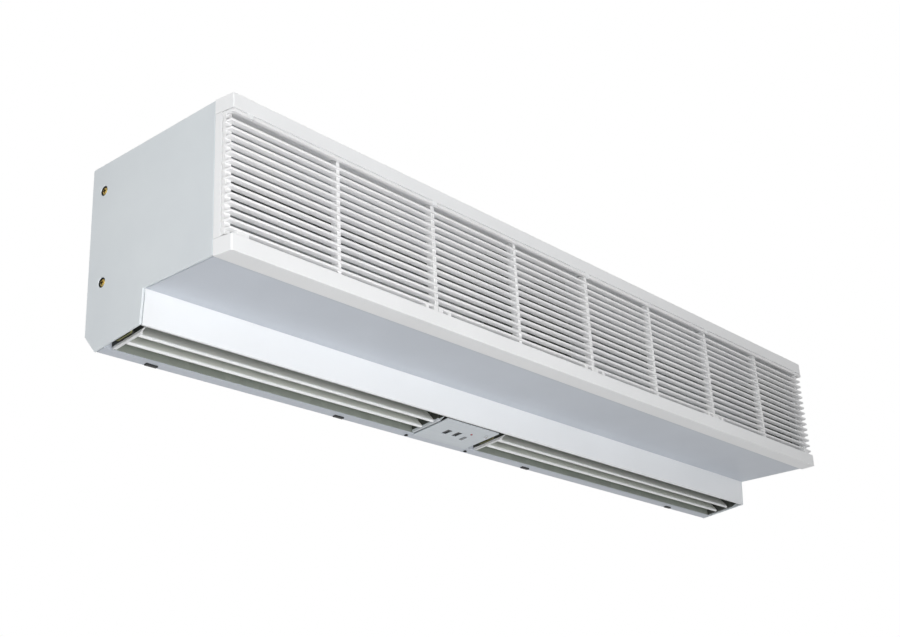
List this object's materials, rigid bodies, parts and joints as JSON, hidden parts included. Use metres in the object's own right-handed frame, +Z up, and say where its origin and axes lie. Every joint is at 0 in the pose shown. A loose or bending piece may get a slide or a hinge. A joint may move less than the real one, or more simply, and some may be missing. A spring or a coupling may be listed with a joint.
{
  "type": "air curtain",
  "caption": "Long wall-hung air curtain: louvred intake panels across the front, a vaned slot outlet with a control plate underneath, and cross-flow fan wheels on a motor between them.",
  "frame": {"origin": "middle of the wall plate's rear face, which lies on the wall", "axes": "+X runs along the unit to the right of someone facing it, +Y points into the wall, +Z is up; the louvres face -Y"},
  "size_m": [1.2, 0.2283, 0.2159],
  "materials": {
    "painted_sheet": "satin powder coat, pale cool grey",
    "white_sheet": "satin powder coat, white",
    "galvanised": "galvanised sheet",
    "cover_plastic": "moulded, satin pale grey",
    "white_plastic": "moulded, satin white",
    "dark_plastic": "moulded, dark grey",
    "black_plastic": "moulded, fine grain",
    "switch_black": "polished",
    "window_smoke": "smoked and clear",
    "lamp_red": "clear red",
    "vane_alloy": "extruded and etched, lower edge painted white",
    "fan_alloy": "pressed sheet",
    "plate_silver": "satin anodised",
    "motor_shell": "grey enamel",
    "yellow_zinc": "yellow zinc plated",
    "black_steel": "blackened",
    "bright_zinc": "bright zinc plated",
    "can_alloy": "drawn can",
    "rubber_black": "moulded"
  },
  "bodies": {
    "casing": {"wall_plate": "galvanised", "rear_panel": "painted_sheet", "top_panel": "painted_sheet", "box_floor": "painted_sheet", "throat_front": "white_sheet", "end_cover_left": "cover_plastic", "end_cover_right": "cover_plastic", "end_screw_left_upper": "yellow_zinc", "end_screw_left_lower": "yellow_zinc", "end_screw_right_upper": "yellow_zinc", "end_screw_right_lower": "yellow_zinc", "end_post_left": "white_plastic", "end_post_right": "white_plastic", "top_rail": "white_plastic", "bottom_rail": "white_plastic", "sill_clip_1": "black_plastic", "sill_clip_2": "black_plastic", "sill_clip_3": "black_plastic", "sill_clip_4": "black_plastic", "sill_screw_left": "black_steel", "sill_screw_right": "black_steel", "duct_end_1": "dark_plastic", "duct_end_2": "dark_plastic", "duct_end_3": "dark_plastic", "duct_end_4": "dark_plastic", "scroll_left": "galvanised", "scroll_right": "galvanised", "tongue_left": "galvanised", "tongue_right": "galvanised", "bearing_left": "rubber_black", "bearing_right": "rubber_black", "motor": "motor_shell", "motor_cradle": "galvanised", "capacitor": "can_alloy", "terminal_block": "white_plastic", "cable_grommet": "rubber_black", "control_box": "black_plastic", "control_plate": "plate_silver", "pilot_lamp": "lamp_red", "receiver_window": "window_smoke", "plate_screw": "bright_zinc"},
    "grille_1": {"intake_grille_1": "white_plastic"},
    "grille_2": {"intake_grille_2": "white_plastic"},
    "grille_3": {"intake_grille_3": "white_plastic"},
    "grille_4": {"intake_grille_4": "white_plastic"},
    "fan_rotor": {"motor_shaft": "bright_zinc", "fan_wheel_left": "fan_alloy", "fan_wheel_right": "fan_alloy"},
    "left_front_vane": {"vane_left_front": "vane_alloy", "vane_lever_left_front": "black_plastic"},
    "left_rear_vane": {"vane_left_rear": "vane_alloy", "vane_lever_left_rear": "black_plastic"},
    "left_link": {"vane_link_left": "yellow_zinc"},
    "right_front_vane": {"vane_right_front": "vane_alloy", "vane_lever_right_front": "black_plastic"},
    "right_rear_vane": {"vane_right_rear": "vane_alloy", "vane_lever_right_rear": "black_plastic"},
    "right_link": {"vane_link_right": "yellow_zinc"},
    "power_switch": {"power_rocker": "switch_black"},
    "speed_switch": {"speed_rocker": "switch_black"}
  },
  "joints": [
    {"name": "grille_1_hinge", "type": "hinge", "parent": "casing", "child": "grille_1", "pos_m": [-0.45, -0.2261, 0.076], "axis": [-1, 0, 0], "range_deg": [0, 90]},
    {"name": "grille_2_hinge", "type": "hinge", "parent": "casing", "child": "grille_2", "pos_m": [-0.15, -0.2261, 0.076], "axis": [-1, 0, 0], "range_deg": [0, 90]},
    {"name": "grille_3_hinge", "type": "hinge", "parent": "casing", "child": "grille_3", "pos_m": [0.15, -0.2261, 0.076], "axis": [-1, 0, 0], "range_deg": [0, 90]},
    {"name": "grille_4_hinge", "type": "hinge", "parent": "casing", "child": "grille_4", "pos_m": [0.45, -0.2261, 0.076], "axis": [-1, 0, 0], "range_deg": [0, 90]},
    {"name": "fan_spin", "type": "hinge", "parent": "casing", "child": "fan_rotor", "pos_m": [0, -0.112, 0.008], "axis": [1, 0, 0], "continuous": true},
    {"name": "left_vane_tilt", "type": "hinge", "parent": "casing", "child": "left_front_vane", "pos_m": [-0.36, -0.06319, -0.10243], "axis": [-1, 0, 0], "range_deg": [-40, 5]},
    {"name": "left_rear_vane_tilt", "type": "hinge", "parent": "casing", "child": "left_rear_vane", "pos_m": [-0.36, -0.04319, -0.10467], "axis": [-1, 0, 0], "range_deg": [-40, 5]},
    {"name": "left_link_turn", "type": "hinge", "parent": "left_front_vane", "child": "left_link", "pos_m": [-0.592, -0.06778, -0.10898], "axis": [-1, 0, 0], "range_deg": [-5, 40]},
    {"name": "right_vane_tilt", "type": "hinge", "parent": "casing", "child": "right_front_vane", "pos_m": [0.29, -0.06319, -0.10243], "axis": [-1, 0, 0], "range_deg": [-40, 5]},
    {"name": "right_rear_vane_tilt", "type": "hinge", "parent": "casing", "child": "right_rear_vane", "pos_m": [0.29, -0.04319, -0.10467], "axis": [-1, 0, 0], "range_deg": [-40, 5]},
    {"name": "right_link_turn", "type": "hinge", "parent": "right_front_vane", "child": "right_link", "pos_m": [-0.019, -0.06778, -0.10898], "axis": [-1, 0, 0], "range_deg": [-5, 40]},
    {"name": "power_rock", "type": "hinge", "parent": "casing", "child": "power_switch", "pos_m": [-0.0989, -0.05758, -0.11316], "axis": [-1, 0, 0], "range_deg": [0, 16]},
    {"name": "speed_rock", "type": "hinge", "parent": "casing", "child": "speed_switch", "pos_m": [-0.0805, -0.05837, -0.11307], "axis": [-1, 0, 0], "range_deg": [0, 16]}
  ],
  "couplings": [
    {"joint": "left_rear_vane_tilt", "follows": "left_vane_tilt", "ratio": 1},
    {"joint": "left_link_turn", "follows": "left_vane_tilt", "ratio": -1},
    {"joint": "right_rear_vane_tilt", "follows": "right_vane_tilt", "ratio": 1},
    {"joint": "right_link_turn", "follows": "right_vane_tilt", "ratio": -1}
  ]
}
